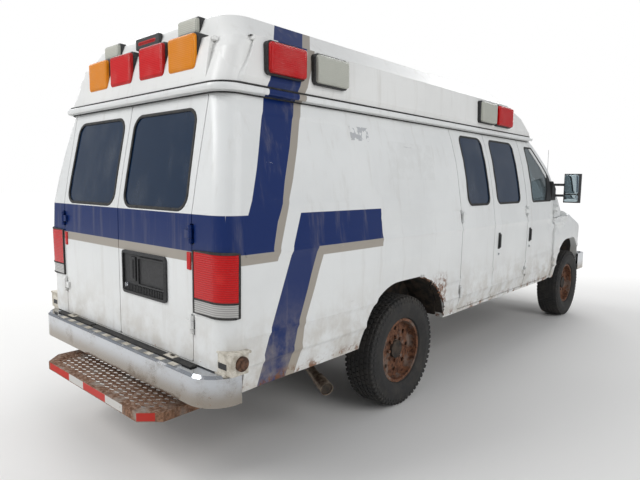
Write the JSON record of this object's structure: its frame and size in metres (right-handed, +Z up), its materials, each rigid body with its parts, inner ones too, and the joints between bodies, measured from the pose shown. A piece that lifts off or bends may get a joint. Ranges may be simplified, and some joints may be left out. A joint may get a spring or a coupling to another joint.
{
  "type": "ambulance",
  "caption": "Van-based ambulance with a raised roof, warning lamps, hinged cab, side and rear doors, a rear bumper and a grated rear step.",
  "frame": {"origin": "On the floor under the middle of the overall length and width.", "axes": "+X to the driver's side, +Y to the rear, +Z up; the front of the vehicle faces -Y."},
  "size_m": [2.456, 6.03, 2.4459],
  "materials": {
    "white_paint": "aged white enamel",
    "white_shell": "moulded white roof shell",
    "tinted_glass": "dark tint",
    "red_lens": "ribbed lens",
    "amber_lens": "ribbed lens",
    "clear_lens": "ribbed lens",
    "chrome": "weathered plating",
    "step_steel": "rusty bare steel",
    "chassis_black": "dull black",
    "engine_iron": "rough casting",
    "radiator_aluminium": "dull core",
    "grey_plastic": "grained",
    "black_plastic": "grained",
    "seat_fabric": "woven",
    "cabinet_laminate": "pale laminate",
    "tyre": "black rubber",
    "rusty_rim": "rusty steel",
    "exhaust_steel": "stained"
  },
  "bodies": {
    "body": {"door_hinges": "white_paint", "right_body_side": "white_paint", "left_body_side": "white_paint", "rear_door_frame": "white_paint", "windshield_frame": "white_paint", "windshield": "tinted_glass", "cowl": "white_paint", "front_fenders": "white_paint", "grille": "grey_plastic", "headlamps": "clear_lens", "raised_roof": "white_shell", "red_lamps": "red_lens", "amber_lamps": "amber_lens", "clear_lamps": "clear_lens", "light_bar": "amber_lens", "tail_lamps": "red_lens", "rear_bumper": "chrome", "front_bumper": "chrome", "rear_step": "step_steel", "frame_rails": "chassis_black", "floor_pan": "chassis_black", "front_wheelhouses": "chassis_black", "radiator": "radiator_aluminium", "drivetrain": "engine_iron", "engine_cover": "grey_plastic", "dashboard": "grey_plastic", "front_seats": "seat_fabric", "furniture": "cabinet_laminate", "rear_axle": "engine_iron", "leaf_springs": "engine_iron", "front_axle": "engine_iron", "fuel_tank": "chassis_black", "exhaust": "exhaust_steel"},
    "right_cab_door": {"right_cab_door": "white_paint", "right_cab_door_glass": "tinted_glass", "right_mirror": "black_plastic"},
    "left_cab_door": {"left_cab_door": "white_paint", "left_cab_door_glass": "tinted_glass", "left_mirror": "black_plastic"},
    "side_door_front": {"side_door_front": "white_paint", "side_door_front_glass": "tinted_glass"},
    "side_door_rear": {"side_door_rear": "white_paint", "side_door_rear_glass": "tinted_glass"},
    "rear_door_left": {"rear_door_left": "white_paint", "rear_door_left_glass": "tinted_glass"},
    "rear_door_right": {"rear_door_right": "white_paint", "rear_door_right_glass": "tinted_glass"},
    "hood": {"hood": "white_paint"},
    "left_knuckle": {"left_knuckle": "engine_iron"},
    "right_knuckle": {"right_knuckle": "engine_iron"},
    "front_left_wheel": {"front_left_tyre": "tyre", "front_left_rim": "rusty_rim"},
    "front_right_wheel": {"front_right_tyre": "tyre", "front_right_rim": "rusty_rim"},
    "rear_left_wheel": {"rear_left_tyre": "tyre", "rear_left_rim": "rusty_rim"},
    "rear_right_wheel": {"rear_right_tyre": "tyre", "rear_right_rim": "rusty_rim"},
    "steering_wheel": {"steering_wheel": "black_plastic"}
  },
  "joints": [
    {"name": "right_cab_door_hinge", "type": "hinge", "parent": "body", "child": "right_cab_door", "pos_m": [-1.014, -1.678, 1], "axis": [0, 0, 1], "range_deg": [0, 65]},
    {"name": "left_cab_door_hinge", "type": "hinge", "parent": "body", "child": "left_cab_door", "pos_m": [1.014, -1.678, 1], "axis": [0, 0, -1], "range_deg": [0, 65]},
    {"name": "side_door_front_hinge", "type": "hinge", "parent": "body", "child": "side_door_front", "pos_m": [-1.014, -0.836, 1], "axis": [0, 0, 1], "range_deg": [0, 90]},
    {"name": "side_door_rear_hinge", "type": "hinge", "parent": "body", "child": "side_door_rear", "pos_m": [-1.014, 0.507, 1], "axis": [0, 0, -1], "range_deg": [0, 90]},
    {"name": "rear_door_right_hinge", "type": "hinge", "parent": "body", "child": "rear_door_right", "pos_m": [-0.734, 2.81, 1], "axis": [0, 0, 1], "range_deg": [0, 178]},
    {"name": "rear_door_left_hinge", "type": "hinge", "parent": "body", "child": "rear_door_left", "pos_m": [0.734, 2.81, 1], "axis": [0, 0, -1], "range_deg": [0, 178]},
    {"name": "hood_hinge", "type": "hinge", "parent": "body", "child": "hood", "pos_m": [0, -2.091, 1.251], "axis": [-1, 0, 0], "range_deg": [0, 60]},
    {"name": "left_kingpin", "type": "hinge", "parent": "body", "child": "left_knuckle", "pos_m": [0.79, -2.263, 0.386], "axis": [0, 0, 1], "range_deg": [-33, 33]},
    {"name": "right_kingpin", "type": "hinge", "parent": "body", "child": "right_knuckle", "pos_m": [-0.79, -2.263, 0.386], "axis": [0, 0, 1], "range_deg": [-33, 33]},
    {"name": "front_left_spin", "type": "hinge", "parent": "left_knuckle", "child": "front_left_wheel", "pos_m": [0.8775, -2.263, 0.386], "axis": [1, 0, 0], "continuous": true},
    {"name": "front_right_spin", "type": "hinge", "parent": "right_knuckle", "child": "front_right_wheel", "pos_m": [-0.8775, -2.263, 0.386], "axis": [1, 0, 0], "continuous": true},
    {"name": "rear_left_spin", "type": "hinge", "parent": "body", "child": "rear_left_wheel", "pos_m": [0.855, 1.242, 0.386], "axis": [1, 0, 0], "continuous": true},
    {"name": "rear_right_spin", "type": "hinge", "parent": "body", "child": "rear_right_wheel", "pos_m": [-0.855, 1.242, 0.386], "axis": [1, 0, 0], "continuous": true},
    {"name": "steering_wheel_turn", "type": "hinge", "parent": "body", "child": "steering_wheel", "pos_m": [0.43, -1.4, 1.2], "axis": [0, 0.8189, 0.5739], "range_deg": [-495, 495]}
  ],
  "couplings": [
    {"joint": "right_kingpin", "follows": "left_kingpin", "ratio": 1},
    {"joint": "steering_wheel_turn", "follows": "left_kingpin", "ratio": 15}
  ]
}
